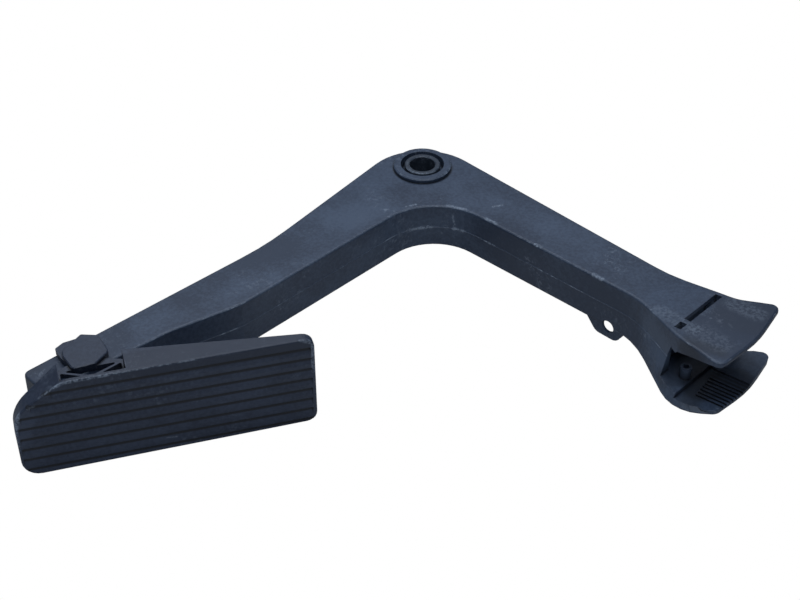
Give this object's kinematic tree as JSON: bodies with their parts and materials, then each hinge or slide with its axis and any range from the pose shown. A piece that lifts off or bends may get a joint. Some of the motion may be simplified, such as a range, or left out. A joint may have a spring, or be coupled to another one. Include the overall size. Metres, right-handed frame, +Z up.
{
  "type": "accelerator pedal",
  "caption": "Accelerator pedal: a cranked plastic lever with a bushed pivot and a flared open jaw, and a ribbed foot pad hinged to its toe on a sprung pin.",
  "frame": {"origin": "middle of the pedal's footprint, on the floor it lies on", "axes": "+X to the right along the longest side, +Y from the tread to the pivot, +Z up along both pivots"},
  "size_m": [0.3076, 0.1834, 0.0466],
  "materials": {
    "glass_filled_plastic": "blue-grey black, fine moulded grain",
    "bush_plastic": "smooth, near black",
    "zinc_plated_steel": "zinc plated",
    "spring_steel": "drawn wire"
  },
  "bodies": {
    "lever": {"lever_arm": "glass_filled_plastic", "pivot_bush": "bush_plastic"},
    "pad": {"pedal_pad": "glass_filled_plastic", "hinge_pin": "zinc_plated_steel", "pad_spring": "spring_steel"}
  },
  "joints": [
    {"name": "pad_hinge", "type": "hinge", "parent": "lever", "child": "pad", "pos_m": [-0.128, -0.06041, 0.02415], "axis": [0, 0, 1], "range_deg": [0, 20], "stiffness_Nm_per_rad": 0.5, "springref_deg": -20.05, "deforming": ["pad_spring"]}
  ]
}
